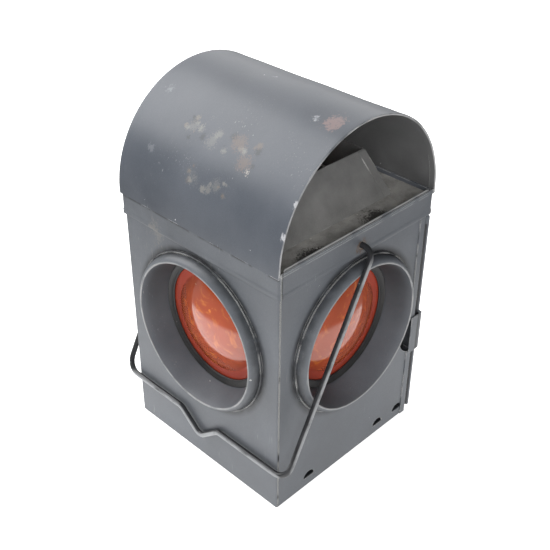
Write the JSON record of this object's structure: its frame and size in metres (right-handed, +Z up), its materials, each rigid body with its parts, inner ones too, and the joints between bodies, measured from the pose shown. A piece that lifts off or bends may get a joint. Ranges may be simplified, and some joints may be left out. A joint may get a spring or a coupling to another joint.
{
  "type": "portable warning lantern",
  "caption": "Square sheet-metal oil lantern with a barrel hood open at both gables, recessed bull's-eye lenses on every side, a hinged door and a swinging wire bail.",
  "frame": {"origin": "middle of the underside of the base plate", "axes": "+Z up; the hood's barrel lies along Y; the door and its lens look along +X; the bail hangs on the -X side"},
  "size_m": [0.1831, 0.1908, 0.2994],
  "materials": {
    "body_paint": "faded satin black paint, scuffed",
    "hood_paint": "faded blue-black satin paint, scuffed",
    "sooted_sheet": "matt, dusty and sooted",
    "bail_wire": "worn black paint on steel wire",
    "dark_ring": "satin, dirty",
    "red_glass": "gloss",
    "spring_wire": "dull",
    "tinplate": "dull, stained",
    "burner_brass": "tarnished",
    "wick_cotton": "matt woven cotton"
  },
  "bodies": {
    "lamp": {"front_wall": "body_paint", "rear_wall": "body_paint", "left_wall": "body_paint", "door_frame": "body_paint", "base_plate": "body_paint", "cap_band": "body_paint", "top_deck": "body_paint", "chimney": "sooted_sheet", "hood": "hood_paint", "bezel_left": "body_paint", "lens_ring_left": "dark_ring", "lens_left": "red_glass", "lens_clip_left": "spring_wire", "bezel_front": "body_paint", "lens_ring_front": "dark_ring", "lens_front": "red_glass", "lens_clip_front": "spring_wire", "bezel_rear": "body_paint", "lens_ring_rear": "dark_ring", "lens_rear": "red_glass", "lens_clip_rear": "spring_wire", "hinge_leaf_body": "body_paint", "hinge_pin": "bail_wire", "hinge_rivets": "body_paint", "oil_font": "tinplate", "font_neck": "burner_brass", "font_fence": "tinplate"},
    "door": {"door_panel": "body_paint", "door_pull": "body_paint", "hinge_leaf_door": "body_paint", "door_rivets": "body_paint", "bezel_door": "body_paint", "lens_ring_door": "dark_ring", "lens_door": "red_glass", "lens_clip_door": "spring_wire"},
    "bail": {"bail": "bail_wire"},
    "burner": {"burner_collar": "burner_brass", "burner_body": "burner_brass", "burner_dome": "burner_brass", "wick_tube": "burner_brass"},
    "wick": {"wick": "wick_cotton"},
    "winder": {"winder_shaft": "burner_brass", "winder_knob": "burner_brass"}
  },
  "joints": [
    {"name": "bail_swing", "type": "hinge", "parent": "lamp", "child": "bail", "pos_m": [0, 0, 0.204], "axis": [0, 1, 0], "range_deg": [0, 240]},
    {"name": "door_swing", "type": "hinge", "parent": "lamp", "child": "door", "pos_m": [0.0829, 0.0834, 0.0975], "axis": [0, 0, 1], "range_deg": [0, 180]},
    {"name": "burner_turn", "type": "hinge", "parent": "lamp", "child": "burner", "pos_m": [0, 0, 0.054], "axis": [0, 0, 1], "range_deg": [0, 360]},
    {"name": "wick_winder", "type": "hinge", "parent": "burner", "child": "winder", "pos_m": [0.02, -0.0056, 0.0668], "axis": [1, 0, 0], "range_deg": [-40, 70]},
    {"name": "wick_slide", "type": "slide", "parent": "burner", "child": "wick", "axis": [0, 0, 1], "range_m": [-0.003, 0.005]}
  ],
  "couplings": [
    {"joint": "wick_slide", "follows": "wick_winder", "m_per_rad": 0.004}
  ]
}
